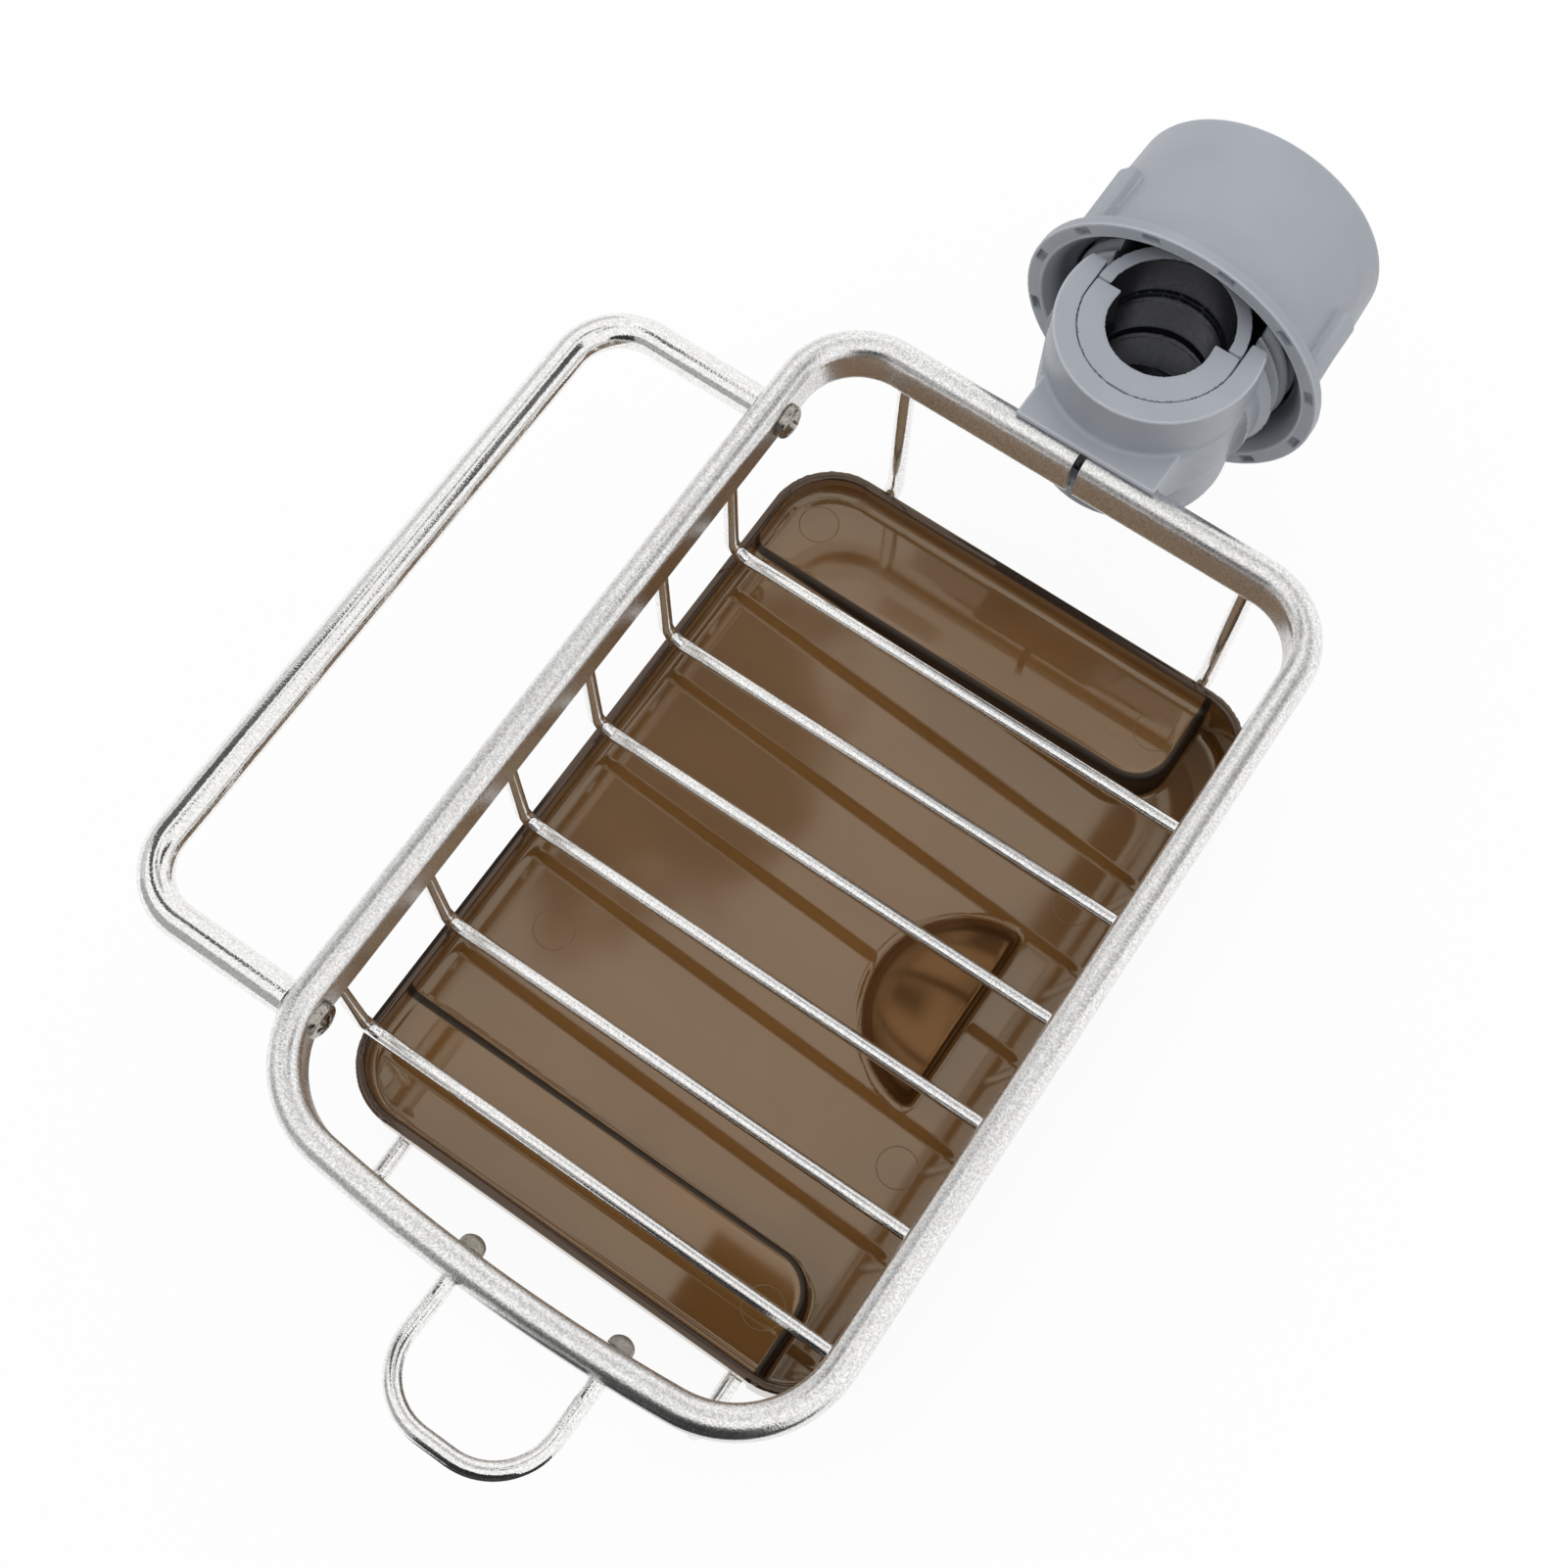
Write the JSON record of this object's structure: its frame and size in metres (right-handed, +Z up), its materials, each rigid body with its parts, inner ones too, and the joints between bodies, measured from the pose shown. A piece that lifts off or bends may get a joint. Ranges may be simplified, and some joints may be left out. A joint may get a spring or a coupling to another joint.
{
  "type": "faucet sponge holder",
  "caption": "Rectangular sponge rack of bent bar and wire with a slide-out drip tray, a towel bar and a hook, held on a faucet pipe by a split clamp with a cup nut.",
  "frame": {"origin": "on the axis of the faucet pipe that the clamp grips, at mid height of the clamp and of the rim bar", "axes": "+Z up along the pipe, -Y out over the rack, +Y out through the cup nut, -X to the towel bar and +X the way the tray slides out"},
  "size_m": [0.1315, 0.2356, 0.0762],
  "materials": {
    "satin_aluminium": "bead-blasted satin",
    "polished_steel": "polished",
    "smoky_plastic": "clear brown, glossy",
    "grey_plastic": "fine matte"
  },
  "bodies": {
    "rack": {"rim_frame": "satin_aluminium", "cross_wire_1": "polished_steel", "cross_wire_2": "polished_steel", "cross_wire_3": "polished_steel", "cross_wire_4": "polished_steel", "cross_wire_5": "polished_steel", "cross_wire_6": "polished_steel", "cradle_wire_far": "polished_steel", "cradle_wire_near": "polished_steel", "towel_bar": "polished_steel", "towel_screw_far": "polished_steel", "towel_screw_near": "polished_steel", "hook_loop": "polished_steel", "hook_screw_left": "polished_steel", "hook_screw_right": "polished_steel", "clamp_body": "grey_plastic", "inner_half_sleeve": "grey_plastic"},
    "tray": {"drip_tray": "smoky_plastic"},
    "jaw": {"outer_half_sleeve": "grey_plastic"},
    "nut": {"clamp_nut": "grey_plastic"}
  },
  "joints": [
    {"name": "tray_slide", "type": "slide", "parent": "rack", "child": "tray", "axis": [1, 0, 0], "range_m": [0, 0.075]},
    {"name": "jaw_slide", "type": "slide", "parent": "rack", "child": "jaw", "axis": [0, 1, 0], "range_m": [0, 0.012]},
    {"name": "nut_turn", "type": "hinge", "parent": "jaw", "child": "nut", "pos_m": [0, 0.02, 0], "axis": [0, 1, 0], "range_deg": [0, 1440]}
  ],
  "couplings": [
    {"joint": "jaw_slide", "follows": "nut_turn", "m_per_rad": 0.00047746}
  ]
}
